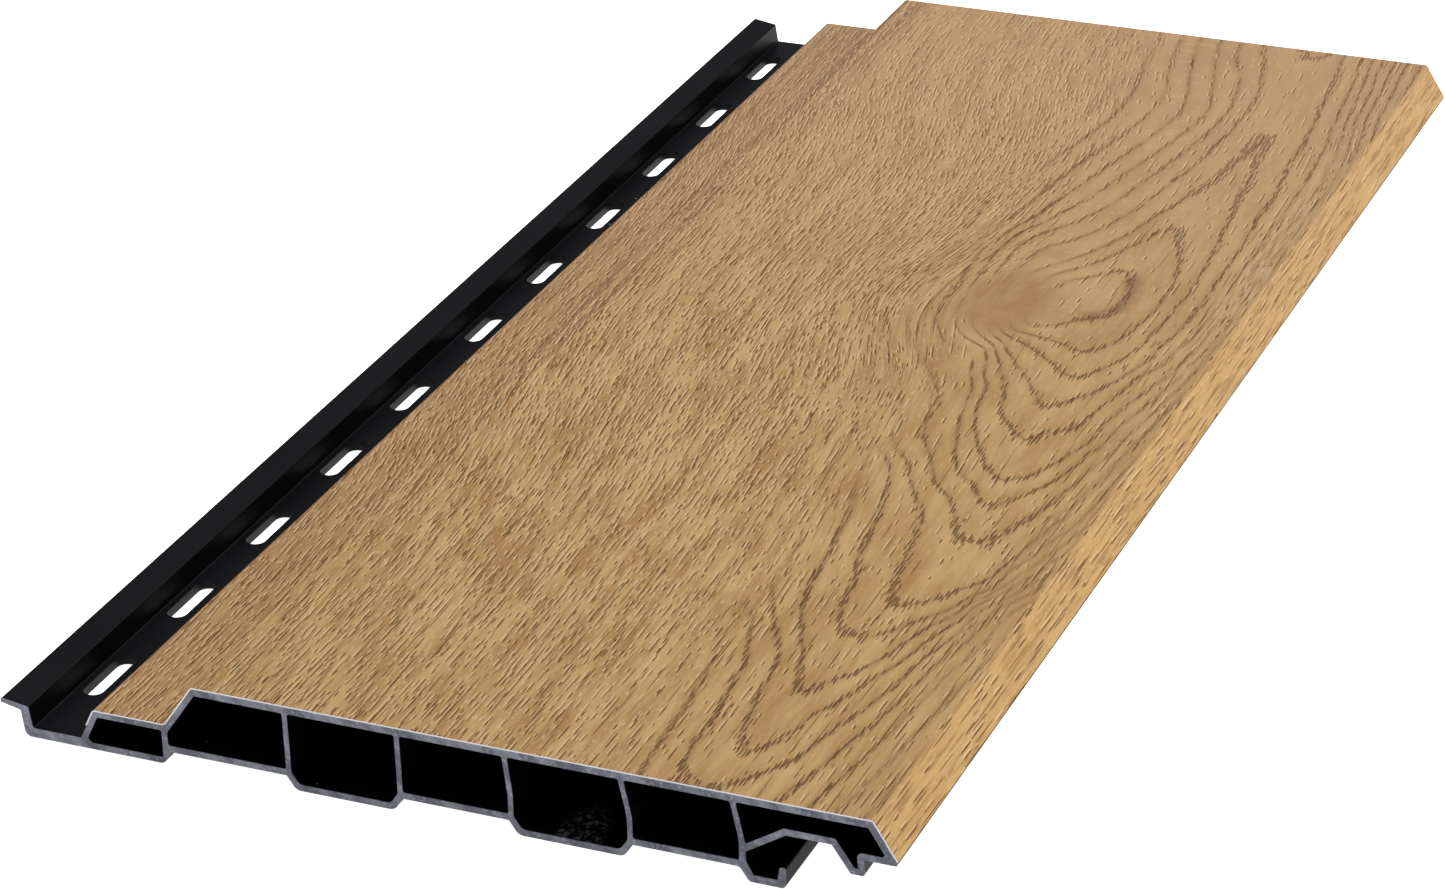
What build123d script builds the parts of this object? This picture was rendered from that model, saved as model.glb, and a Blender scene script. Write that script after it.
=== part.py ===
"""Hollow wall cladding panel: an extruded plastic profile and the decor foil on its face.

X runs across the panel from the nail flange to the nose, Y along it and Z out of the wall.
In the section, x = 0 is the top corner of the step beside the face and z = 0 the back plane.
"""
from math import hypot
import os

from build123d import *

os.makedirs("parts", exist_ok=True)

# Panel
length = 361.0  # sawn square at both ends
face_width = 129.3  # flat of the face, from the step to the bevel
face_height = 16.65  # bare plastic above the back plane
foil_thickness = 0.25
foil_start = 4.7  # height on the ledge's side where the foil begins
foil_end = 0.75  # left bare on the bevel above its tip

# Walls and the radii of their corners
face_wall = 1.35  # face and bevel
ledge_wall = 1.1  # ledge, its side, the riser and the web under it
back_wall = 1.25  # behind the chambers and around the nose's underside
corner = 0.3
inner_corner = 0.5

# Ledge beside the face, and the riser between them
ledge_height = 7.95
ledge_width = 14.6
riser_run = 6.1
ledge_side_run = 3.1
ledge_side_radius = 1.0  # inside, where the side meets the back wall
riser_foot_radius = 1.4

# Nail flange with its lip
flange_width = 10.0
flange_thickness = 1.8
lip_wall = 1.55
lip_wall_lean = 0.65
lip_thickness = 0.85
lip_height = 6.1  # top of the lip where it leaves its wall
lip_rise = 0.9
lip_reach = 4.1  # past the outside of its wall
lip_foot_radius = 1.4

# Nail slots
slot_length = 15.5
slot_width = 3.9
slot_pitch = 31.7
slot_from_wall = 3.4
first_slot = 22.2  # from the near end to the first slot's centre
first_group = 5  # slots ahead of the first group gap
slots_in_group = 6
group_gap = 3.9  # added to the pitch between two strokes of the punch

# Chambers: the deep ones reach down to the wall on feet, the shallow ones are recessed
recess = 2.65
foot_run = 1.8
foot_radius = 1.8
ledge_foot_gap = 5.2  # from the step back to the foot under the ledge
ledge_foot_run = 1.6
ledge_foot_radius = 1.3
ledge_web_gap = 5.75  # from the step back to the web under the riser

# Webs
web_wall = 0.95
first_web = 18.45  # from the step to the middle of the first web
deep_bay = 22.0
hook_web_back = 25.4  # from the bevel's corner back to the web above the hook
web_leans = (0.1, 0.1, 0.85, 1.45, 1.5)  # how far each web stands further right below its knee, never 0
web_knee = 8.0
web_bend = 12.0

# Nose
bevel_run = 4.85
nose_height = 8.8
nose_corner = 0.45
nose_width = 6.5  # underside, from its tip to the ridge
ridge_width = 2.35
ridge_lean = 0.3  # how far the foot of its right side stands out
ridge_height = 5.6
ridge_run = 3.4
ridge_corner = 0.15  # inside the ridge, where there is little room
roof_height = 10.65  # underside between the ridge and the hook
roof_width = 8.3
roof_slope_run = 7.5  # from there down to the hook's web
roof_slope_drop = 4.8

# Hook
hook_width = 5.8  # inside, along its floor
hook_wall = 1.4
hook_lip = 1.6
hook_lip_lean = 0.45  # how far its inside slopes back
hook_lip_height = 4.05
hook_slope_run = 1.4
hook_slope_rise = 2.6

# Places worked out from the sizes above
face_under = face_height - face_wall
ledge_under = ledge_height - ledge_wall
recess_floor = recess + back_wall
ledge_left = -riser_run - ledge_width
flange_right = ledge_left - ledge_side_run
flange_left = flange_right - flange_width
lip_tip = flange_left - lip_wall_lean - lip_wall - lip_reach
nose_tip = face_width + bevel_run
ridge_right = nose_tip - nose_width
ridge_left = ridge_right - ridge_width
roof_right = ridge_left - ridge_run
roof_left = roof_right - roof_width
hook_left = roof_left - roof_slope_run
hook_top = roof_height - roof_slope_drop
hook_right = hook_left + hook_width
hook_web = face_width - hook_web_back
shallow_bay = (hook_web - first_web - 2 * deep_bay) / 2
bevel_drop = face_height - nose_height
bevel_slope = bevel_run / bevel_drop
foil_tip = nose_tip - foil_end * bevel_slope + foil_thickness * bevel_drop / hypot(bevel_run, bevel_drop)
middle = (lip_tip + foil_tip) / 2
web_tops = (
    first_web,
    first_web + deep_bay,
    first_web + deep_bay + shallow_bay,
    hook_web - shallow_bay,
    hook_web,
)
web_feet = [top + lean for top, lean in zip(web_tops, web_leans)]
section_plane = Plane((-middle, 0, 0), x_dir=(1, 0, 0), z_dir=(0, -1, 0))


def sideways(wall, run, rise):
    """How far a wall's inside lies beside its outside, where the wall slopes."""
    return wall * hypot(run, rise) / rise


def profile_outline():
    """Corners of the profile as (x, z, radius), from the ledge to the right and round the back."""
    first_foot_left, first_foot_right = web_feet[0] - web_wall / 2, web_feet[1] + web_wall / 2
    second_foot_left, second_foot_right = web_feet[2] - web_wall / 2, web_feet[3] + web_wall / 2
    hook_foot_left = web_feet[4] - web_wall / 2
    wall_left = flange_left - lip_wall_lean - lip_wall
    lip_round = 0.4 * (hook_lip - hook_lip_lean)
    return foil_path() + [
        (nose_tip, nose_height, nose_corner),
        (ridge_right, nose_height, corner),
        (ridge_right + ridge_lean, ridge_height, 2 * corner),
        (ridge_left, ridge_height, 2 * corner),
        (roof_right, roof_height, corner),
        (roof_left, roof_height, corner),
        (hook_left, hook_top, corner),
        (hook_left, hook_wall + hook_slope_rise, corner),
        (hook_left + hook_slope_run, hook_wall, corner),
        (hook_right, hook_wall, corner),
        (hook_right + hook_lip_lean, hook_lip_height, lip_round),
        (hook_right + hook_lip, hook_lip_height, lip_round),
        (hook_right + hook_lip, 0, 3 * corner),
        (hook_foot_left + foot_run, 0, 3 * corner),
        (hook_foot_left, recess, 3 * corner),
        (second_foot_right, recess, corner),
        (second_foot_right - foot_run, 0, foot_radius),
        (second_foot_left + foot_run, 0, foot_radius),
        (second_foot_left, recess, corner),
        (first_foot_right, recess, corner),
        (first_foot_right - foot_run, 0, foot_radius),
        (first_foot_left + foot_run, 0, foot_radius),
        (first_foot_left, recess, corner),
        (-ledge_foot_gap, recess, corner),
        (-ledge_foot_gap - ledge_foot_run, 0, ledge_foot_radius),
        (wall_left + lip_wall_lean, 0, lip_foot_radius),
        (wall_left, lip_height - lip_thickness, corner),
        (lip_tip, lip_height + lip_rise - lip_thickness, corner),
        (lip_tip, lip_height + lip_rise, corner),
        (flange_left - lip_wall_lean, lip_height, corner),
        (flange_left, flange_thickness, corner),
        (flange_right, flange_thickness, corner),
    ]


def foil_path():
    """The profile's corners that lie under the foil."""
    return [
        (ledge_left, ledge_height, 2 * corner),
        (-riser_run, ledge_height, riser_foot_radius),
        (0, face_height, 2 * corner),
        (face_width, face_height, 2 * corner),
    ]


def foil_ends():
    """Where the foil begins on the ledge's side and where it stops on the bevel."""
    ledge_slope = ledge_side_run / (ledge_height - flange_thickness)
    begin = (flange_right + (foil_start - flange_thickness) * ledge_slope, foil_start)
    stop = (nose_tip - foil_end * bevel_slope, nose_height + foil_end)
    return begin, stop


def web_side(number, side):
    """Corners along one side of a web, upwards: side is -1 for its left and 1 for its right."""
    offset = side * web_wall / 2
    return [
        (web_feet[number] + offset, web_knee, web_bend),
        (web_tops[number] + offset, face_under, inner_corner),
    ]


def ledge_chamber():
    """Deep chamber under the ledge, with one side along the ledge's sloped side."""
    side = sideways(ledge_wall, ledge_side_run, ledge_height - flange_thickness)
    slope = ledge_side_run / (ledge_height - flange_thickness)
    web_left = -ledge_web_gap - ledge_wall
    return [
        (flange_right + side + (back_wall - flange_thickness) * slope, back_wall, ledge_side_radius),
        (web_left, back_wall, inner_corner),
        (web_left, ledge_under, inner_corner),
        (ledge_left + side - ledge_wall * slope, ledge_under, inner_corner),
    ]


def riser_chamber():
    """Shallow chamber beside the step, under the riser."""
    rise = face_height - ledge_height
    side = sideways(ledge_wall, riser_run, rise)
    left = -ledge_web_gap
    return [
        (left, recess_floor, inner_corner),
        (web_feet[0] - web_wall / 2, recess_floor, inner_corner),
        *web_side(0, -1),
        (side - face_wall * riser_run / rise, face_under, inner_corner),
        (left, face_height + (left - side) * rise / riser_run, inner_corner),
    ]


def deep_chamber(first):
    """Chamber between web number first and the next one, down to the back plane."""
    left, right = web_feet[first] + web_wall / 2, web_feet[first + 1] - web_wall / 2
    side = sideways(back_wall, foot_run, recess) - web_wall
    slope = foot_run / recess
    foot = side + (recess - back_wall) * slope
    slope_top = recess + side / slope
    return [
        (left, slope_top, 2 * inner_corner),
        (left + foot, back_wall, 3 * inner_corner),
        (right - foot, back_wall, 3 * inner_corner),
        (right, slope_top, 2 * inner_corner),
        *web_side(first + 1, -1),
        *reversed(web_side(first, 1)),
    ]


def shallow_chamber(first):
    """Chamber between web number first and the next one, above the recess."""
    return [
        (web_feet[first] + web_wall / 2, recess_floor, inner_corner),
        (web_feet[first + 1] - web_wall / 2, recess_floor, inner_corner),
        *web_side(first + 1, -1),
        *reversed(web_side(first, 1)),
    ]


def nose_chamber():
    """Chamber of the nose, which runs down into the ridge."""
    bevel_side = face_width - sideways(face_wall, bevel_run, bevel_drop)
    ridge_rise = roof_height - ridge_height
    ridge_slope = ridge_run / ridge_rise
    ridge_side = roof_right + sideways(back_wall, ridge_run, ridge_rise)
    roof_slope = roof_slope_drop / roof_slope_run
    roof_inside = roof_height + sideways(back_wall, roof_slope_drop, roof_slope_run)
    nose_floor = nose_height + back_wall
    roof_floor = roof_height + back_wall
    return [
        (web_tops[4] + web_wall / 2, face_under, inner_corner),
        (hook_left, roof_inside - roof_slope_drop, corner),
        (roof_left - (roof_inside - roof_floor) / roof_slope, roof_floor, inner_corner),
        (ridge_side - back_wall * ridge_slope, roof_floor, inner_corner),
        (ridge_side + (ridge_rise - back_wall) * ridge_slope, ridge_height + back_wall, ridge_corner),
        (ridge_right + ridge_lean - back_wall, ridge_height + back_wall, ridge_corner),
        (ridge_right - back_wall, nose_floor, 2 * inner_corner),
        (bevel_side + (face_height - nose_floor) * bevel_slope, nose_floor, inner_corner),
        (bevel_side + face_wall * bevel_slope, face_under, inner_corner),
    ]


def draw(corners):
    """Draw a closed outline through corners given as (x, z, radius)."""
    FilletPolyline(*[(x, z) for x, z, _ in corners], radius=[r for _, _, r in corners], close=True)


def slot_places():
    """Centres of the nail slots along Y, as many as the length takes."""
    places = []
    place = first_slot
    while place < length - slot_length:
        places.append(place - length / 2)
        place += slot_pitch
        if (len(places) - first_group) % slots_in_group == 0:
            place += group_gap
    return places


chambers = [
    ledge_chamber(),
    riser_chamber(),
    deep_chamber(0),
    shallow_chamber(1),
    deep_chamber(2),
    shallow_chamber(3),
    nose_chamber(),
]

# Hollow profile
with BuildPart() as panel_profile:
    with BuildSketch(section_plane):
        with BuildLine():
            draw(profile_outline())
        make_face()
        for chamber in chambers:
            with BuildLine():
                draw(chamber)
            make_face(mode=Mode.SUBTRACT)
    extrude(amount=length / 2, both=True)
    with BuildSketch(Plane((flange_left + slot_from_wall - middle, 0, 0))):
        with Locations(*[(0, place) for place in slot_places()]):
            SlotOverall(slot_length, slot_width, rotation=90)
    extrude(amount=flange_thickness, mode=Mode.SUBTRACT)
panel_profile.part.label = "panel_profile"
export_step(panel_profile.part, "parts/panel_profile.step")

# Decor foil, laminated onto the profile from the ledge's side to the tip of the bevel
with BuildPart() as decor_foil:
    with BuildSketch(section_plane):
        with BuildLine():
            begin, stop = foil_ends()
            corners = [(x, z) for x, z, _ in foil_path()]
            FilletPolyline(begin, *corners, stop, radius=[radius for _, _, radius in foil_path()])
            offset(amount=foil_thickness, side=Side.LEFT)
        make_face()
    extrude(amount=length / 2, both=True)
decor_foil.part.label = "decor_foil"
export_step(decor_foil.part, "parts/decor_foil.step")
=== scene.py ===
import math
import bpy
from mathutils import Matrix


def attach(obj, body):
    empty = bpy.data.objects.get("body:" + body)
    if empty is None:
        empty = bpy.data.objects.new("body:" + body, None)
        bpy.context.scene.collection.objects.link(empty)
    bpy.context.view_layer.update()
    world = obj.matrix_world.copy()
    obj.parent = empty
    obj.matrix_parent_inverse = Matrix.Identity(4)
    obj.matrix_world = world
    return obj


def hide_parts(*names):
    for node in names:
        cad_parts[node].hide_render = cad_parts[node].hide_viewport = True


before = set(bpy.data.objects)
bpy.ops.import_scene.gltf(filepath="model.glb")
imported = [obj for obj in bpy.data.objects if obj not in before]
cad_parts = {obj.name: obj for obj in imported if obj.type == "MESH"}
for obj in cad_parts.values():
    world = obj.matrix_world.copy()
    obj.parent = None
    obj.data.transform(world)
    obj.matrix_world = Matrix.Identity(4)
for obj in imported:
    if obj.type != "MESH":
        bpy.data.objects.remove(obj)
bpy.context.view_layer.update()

from types import SimpleNamespace

import bpy
import numpy as np
from mathutils import Matrix, Vector

MM = 0.001
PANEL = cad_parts["panel_profile"]
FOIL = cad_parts["decor_foil"]

# The grain is laid out in parts of the face's width: 0 at the step, 100 at the bevel.
FACE_LEFT = -46.90 * MM
FACE_WIDTH = 129.3 * MM
PART = FACE_WIDTH / 100
NEAR_END = min(v.co.y for v in FOIL.data.vertices)
FAR_END = max(v.co.y for v in FOIL.data.vertices)


# Camera, light and floor

CAMERA_PLACE = (0.31660, -0.78370, 0.40945)
CAMERA_RIGHT = (0.92270, 0.38484, -0.02291)
CAMERA_UP = (-0.15254, 0.41903, 0.89507)
CAMERA_BACK = (0.35406, -0.82238, 0.44534)
LENS, SENSOR = 112.37, 36.0

SKY = 0.35
LAMP_PLACE, LAMP_SIZE, LAMP_POWER = (0.6, 0.35, 1.6), 1.4, 42
FLOOR_HALF, FLOOR_LEVEL = 12.0, -0.0004
FLOOR_GREY, FLOOR_GLOW = 0.85, 1.0


def camera():
    """Stands where the photograph was taken from."""
    data = bpy.data.cameras.new("camera")
    data.lens, data.sensor_width = LENS, SENSOR
    data.clip_start, data.clip_end = 0.01, 50.0
    cam = bpy.data.objects.new("camera", data)
    bpy.context.scene.collection.objects.link(cam)
    turn = Matrix((CAMERA_RIGHT, CAMERA_UP, CAMERA_BACK)).transposed().to_4x4()
    cam.matrix_world = Matrix.Translation(CAMERA_PLACE) @ turn
    bpy.context.scene.camera = cam


def sky():
    world = bpy.data.worlds.new("studio")
    world.use_nodes = True
    background = world.node_tree.nodes["Background"]
    background.inputs["Color"].default_value = (1.0, 1.0, 1.0, 1.0)
    background.inputs["Strength"].default_value = SKY
    bpy.context.scene.world = world


def lamp():
    data = bpy.data.lights.new("lamp_above", "AREA")
    data.shape, data.energy = "RECTANGLE", LAMP_POWER
    data.size, data.size_y = LAMP_SIZE, LAMP_SIZE
    above = bpy.data.objects.new("lamp_above", data)
    bpy.context.scene.collection.objects.link(above)
    above.location = LAMP_PLACE
    above.rotation_mode = "QUATERNION"
    above.rotation_quaternion = (-Vector(LAMP_PLACE)).to_track_quat("-Z", "Y")


def pale_floor():
    """It glows a little, as a light table does."""
    far, low = FLOOR_HALF, FLOOR_LEVEL
    corners = [(-far, -far, low), (far, -far, low), (far, far, low), (-far, far, low)]
    mesh = bpy.data.meshes.new("floor")
    mesh.from_pydata(corners, [], [(0, 1, 2, 3)])
    floor = bpy.data.objects.new("floor", mesh)
    bpy.context.scene.collection.objects.link(floor)
    pale = bpy.data.materials.new("pale_floor")
    pale.use_nodes = True
    shader = pale.node_tree.nodes["Principled BSDF"]
    shader.inputs["Base Color"].default_value = (FLOOR_GREY, FLOOR_GREY, FLOOR_GREY, 1)
    shader.inputs["Roughness"].default_value = 0.9
    shader.inputs["Specular IOR Level"].default_value = 0.1
    shader.inputs["Emission Color"].default_value = (1, 1, 1, 1)
    shader.inputs["Emission Strength"].default_value = FLOOR_GLOW
    mesh.materials.append(pale)


# The grain of the decor

# Growth rings as the photograph shows them: a level and the points that its line runs through,
# across and along the face, in parts. The levels count outwards from the eye.
RINGS = (
    (13, ((64.5, 46), (67, 38), (69.3, 26.7), (70.2, 18.5), (70.5, 10.8), (71.3, 5.5), (72.8, 1.4),
     (75.5, -0.5), (78, 1.2), (80.3, 3), (81.7, 6), (84.3, 9.6), (85.5, 14), (86.8, 20), (89, 27.3),
     (90.5, 34))),
    (12, ((65.5, 50), (68.5, 44), (71.9, 37.9), (72.8, 33.2), (73.4, 28.5), (74.3, 22.6), (74.9, 17.9),
     (75.8, 14.4), (76.9, 12), (78.1, 10.5), (79.3, 11.7), (80.5, 13.5), (81.9, 16.7), (82.8, 23.2),
     (84.6, 27.3), (85.4, 30.2), (86.4, 33.8), (87.4, 36.5), (89, 42))),
    (11, ((61.6, 96.5), (62.8, 90), (65.8, 79.4), (67.8, 67), (68.5, 58), (69.9, 50.8), (72.5, 44.4),
     (73.4, 41.4), (75.2, 37.9), (76.1, 33.8), (77.5, 30.8), (79.3, 27.5), (80.8, 30.2), (82.2, 33.2),
     (84, 35.5), (85.2, 38.5), (86.4, 42), (87.5, 46.1), (89, 52))),
    (10, ((65.2, 98.2), (67.8, 91.2), (69, 85.9), (69.9, 80.6), (71.1, 74.1), (71.6, 68.8), (73.4, 63.5),
     (74.3, 58.8), (74.9, 54.5), (76.1, 49.1), (77.5, 46.7), (79.9, 45.3), (82.2, 46.4), (84, 47.6),
     (85.5, 50.5), (88, 54), (90.5, 58), (92.5, 62.4))),
    (9, ((60.5, 116), (61.9, 109.8), (62.8, 105.5), (65.5, 100.5), (69.3, 95.3), (71.5, 91), (73.5, 87.5),
     (75.8, 83.5), (76.9, 80), (77.8, 74.7), (78.4, 69.4), (79.3, 64.1), (80.5, 58.8), (82.2, 55.3),
     (84.6, 57), (87.5, 60), (89, 63), (91, 66), (93, 69.4), (93.4, 74.7), (94, 78.2))),
    (8, ((62.5, 124.5), (64.6, 119.8), (65.5, 115), (66.1, 109.8), (68, 105.5), (71, 100.5), (73.4, 95.3),
     (74.6, 92.4), (77.5, 90), (79.3, 86.5), (81.1, 83.5), (82.2, 79.4), (85.2, 77.4), (87.5, 79.3),
     (89.3, 81), (90.5, 84.7), (91.6, 88.2), (92.8, 92.9), (94, 100))),
    (7, ((64.5, 137), (67.5, 128.6), (69, 123.3), (69.9, 118.6), (71.1, 113.3), (72.8, 106.8),
     (74.6, 101.2), (76.9, 97), (79.3, 95), (80.8, 92.9), (82.2, 90.6), (84, 88.8), (85.8, 90),
     (87.5, 93.5), (89, 95.3), (90.2, 98.5), (91.5, 103))),
    (6, ((65.5, 139.5), (68.4, 130.5), (70.8, 122.1), (71.6, 117.5), (73.4, 112.7), (75.2, 108.6),
     (76.1, 106.8), (77.5, 104.5), (79.3, 101.5), (80.8, 99.2), (83.4, 97.2), (85.4, 98.8), (87.5, 101.2),
     (88.6, 104.5), (90, 108), (91.5, 114))),
    (5, ((66.2, 141.5), (69, 136.5), (71.4, 131), (73.7, 126), (74.6, 122.7), (75.6, 119.2),
     (77.5, 116.2), (79.3, 113.9), (81.9, 110.9), (84, 113.8), (86, 116), (88.1, 118.6), (89.3, 124.5),
     (90, 130), (91, 137))),
    (4, ((66, 143.8), (69, 139.5), (71.6, 136), (73.8, 133.4), (75.8, 130.9), (77.5, 128), (79.3, 125.1),
     (81.6, 122.5), (84, 126.8), (86.4, 129.8), (87.8, 133.3), (89.3, 136.6), (90.2, 140.4), (91, 146),
     (91.9, 152.4), (92.5, 163.5), (92.5, 173.5), (92.2, 187.1), (91.9, 194.8), (91.1, 203.6),
     (90.2, 221.3), (89.6, 230.1), (89, 240.8), (87.5, 252.6), (86.4, 267.3), (84.8, 279.1))),
    (3, ((66.5, 146), (69.9, 144), (72.2, 142.5), (74.6, 140.4), (77.5, 137.8), (79.3, 135.9),
     (82.2, 134.3), (84, 136.4), (85.2, 139.2), (86.4, 142), (87.6, 145.5), (88.3, 150), (88.8, 156),
     (89, 163.5), (89.3, 174.1), (88.4, 187.1), (87.5, 196), (86.4, 206.6), (85.2, 219.5), (84, 230.1),
     (82.7, 238), (81.6, 230.1), (80.5, 223), (79.7, 216), (78.3, 211), (76.8, 206), (75.6, 200),
     (73.4, 190), (70.3, 182), (66.5, 175))),
    (2, ((67, 147.9), (69.9, 147.1), (73.4, 146.2), (76.9, 145), (80.5, 143.8), (82.8, 146), (84, 148.8),
     (85.2, 153.5), (86.1, 158.2), (86.4, 164.1), (86.2, 170), (85.4, 176), (84.6, 180.6), (83, 186),
     (81, 190.5), (78.7, 194.8), (76.9, 191.3), (74.9, 185.4), (73.1, 180.6), (71.2, 176.2), (68, 172))),
    (1, ((69.9, 150), (73.4, 151.8), (76.4, 155), (78.4, 156.5), (80.2, 160), (80.5, 164.7),
     (79.8, 169.4), (78.7, 172.9), (76.4, 175.3), (74, 172.6), (72.2, 170.4), (69.6, 168.4))),
    (0.62, ((70, 152.5), (70.8, 156), (72, 160), (73, 164), (71.5, 167))),
    (0, ((75.8, 164.5),)),
    (4, ((62, 180), (66, 186), (69.5, 195), (72, 205), (74.6, 222), (75.6, 236), (75.8, 245.5),
     (75.2, 256.7), (73.4, 265.5), (72.2, 270.8), (69.9, 278.5))),
    (5, ((58.5, 183), (62.5, 190), (66, 199), (68.6, 212), (71, 226), (72.6, 238), (72.8, 245.5),
     (72.2, 253.8), (70.5, 262), (68.7, 266.1), (66.6, 272), (65.8, 278.5))),
    (6, ((56, 185), (60, 196), (63.8, 210), (67.4, 228), (69, 239), (69.3, 246.7), (67.8, 252.6),
     (66.4, 258.5), (64.9, 264.4), (63.4, 270.2), (61.9, 278.5))),
    (7, ((52.5, 178), (55.5, 189), (58.3, 203), (61.5, 220), (64.3, 235), (64.6, 247), (62.2, 257.3),
     (60.4, 264.4), (58.6, 273.2))),
    (7, ((53.2, 160), (53.6, 150.5), (56.6, 143), (60.5, 138.5), (63, 137.5))),
    (8, ((49.2, 155), (50.4, 145.1), (54.6, 137), (57.4, 132))),
    (8, ((49.3, 160.6), (49.8, 169.4), (51.5, 182), (53.5, 197), (55.5, 213), (58.3, 228), (60, 240),
     (59.3, 253.8), (57.2, 262), (55.6, 270), (54.6, 278.5))),
    (9, ((45, 150), (47.3, 142), (51, 133), (54.5, 126), (57, 121), (59.4, 118))),
    (9, ((44.7, 158), (45.4, 172), (47, 190), (49.5, 208), (52, 222), (54.2, 236), (54.5, 246),
     (53.2, 256), (51.8, 266), (50.6, 278.5))),
    (3, ((83.5, 281), (82, 277.5), (79.5, 275.2), (77.6, 278), (76.6, 282))),
    (3.45, ((79.5, 256),)),
)
# Straight grain left of the arches: along, across and level of one line each. The next lines follow
# to its left, RING_PITCH apart, at the steps given.
STRAIGHT = (
    (0, 71.5, 13), (25, 69.5, 13), (50, 61, 13), (75, 56.5, 13), (98, 53, 13), (118, 55.5, 10),
    (126, 50.5, 10), (142, 43.3, 10), (158, 40.5, 10), (172, 41.2, 10), (190, 42.8, 10), (208, 45.2, 10),
    (222, 47.6, 10), (236, 49.8, 10), (250, 49.9, 10), (266, 47.5, 10), (279, 46, 10),
)
STRAIGHT_STEPS = (0, 1, 2, 4, 6, 8, 10, 12, 14)
STRAIGHT_END = -8       # no line starts further left
RING_PITCH = 4.4
# Steep grain right of the arches: along, then across and level of each line there.
RIGHT = (
    (0, (87, 14), (91, 15), (95, 16), (99, 17)),
    (20, (90.5, 14), (94, 15), (97.3, 16)),
    (30, (89.3, 13), (92.3, 14), (95, 15), (98.2, 16)),
    (40, (90.8, 13), (93.2, 14), (96, 15), (99.3, 16)),
    (50, (90.7, 12), (93.3, 13), (95.5, 14), (97.6, 15), (100, 16)),
    (60, (91.8, 11), (93, 12), (94.7, 13), (96.6, 14), (98.7, 15)),
    (70, (92.3, 9), (93.4, 10), (95.6, 11), (97.4, 12), (99, 13)),
    (80, (94.1, 9), (96.1, 10), (98.6, 11), (99.8, 12)),
    (87, (91.2, 8), (95.4, 9), (98.2, 10)),
    (95, (92.9, 8), (96.3, 9), (98.9, 10)),
    (103, (91.6, 7), (94.6, 8), (97, 9), (99.4, 10)),
    (110, (90.6, 6), (92.4, 7), (95.6, 8), (97.7, 9), (99.9, 10)),
    (120, (92, 6), (93.8, 7), (96.8, 8), (98.7, 9)),
    (130, (93.4, 6), (96.1, 7), (97.9, 8), (99.6, 9)),
    (140, (92.3, 5), (95.9, 6), (97.4, 7), (98.9, 8)),
    (150, (94, 5), (97.1, 6), (98.2, 7), (99.4, 8)),
    (160, (95.2, 5), (97.5, 6), (98.7, 7), (100, 8)),
    (172, (95.3, 5), (97.4, 6), (98.5, 7), (99.8, 8)),
    (190, (95.1, 5), (97, 6), (98.3, 7), (99.8, 8)),
    (205, (95, 5), (97.6, 6), (98.6, 7), (99.9, 8)),
    (220, (94.5, 5), (97.5, 6), (98.9, 7)),
    (232, (93.6, 5), (96.5, 6), (97.9, 7), (99.2, 8)),
    (241, (92.9, 5), (95.2, 6), (96.6, 7), (98.4, 8)),
    (250, (91.9, 5), (93.6, 6), (95, 7), (96.7, 8), (99, 9)),
    (260, (90.8, 5), (92.6, 6), (94.2, 7), (96, 8), (98.2, 9)),
    (270, (89.8, 5), (91.4, 6), (93, 7), (95.2, 8), (97.4, 9)),
    (279, (88.6, 5), (90.4, 6), (92.2, 7), (94.4, 8), (96.8, 9)),
)
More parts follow.
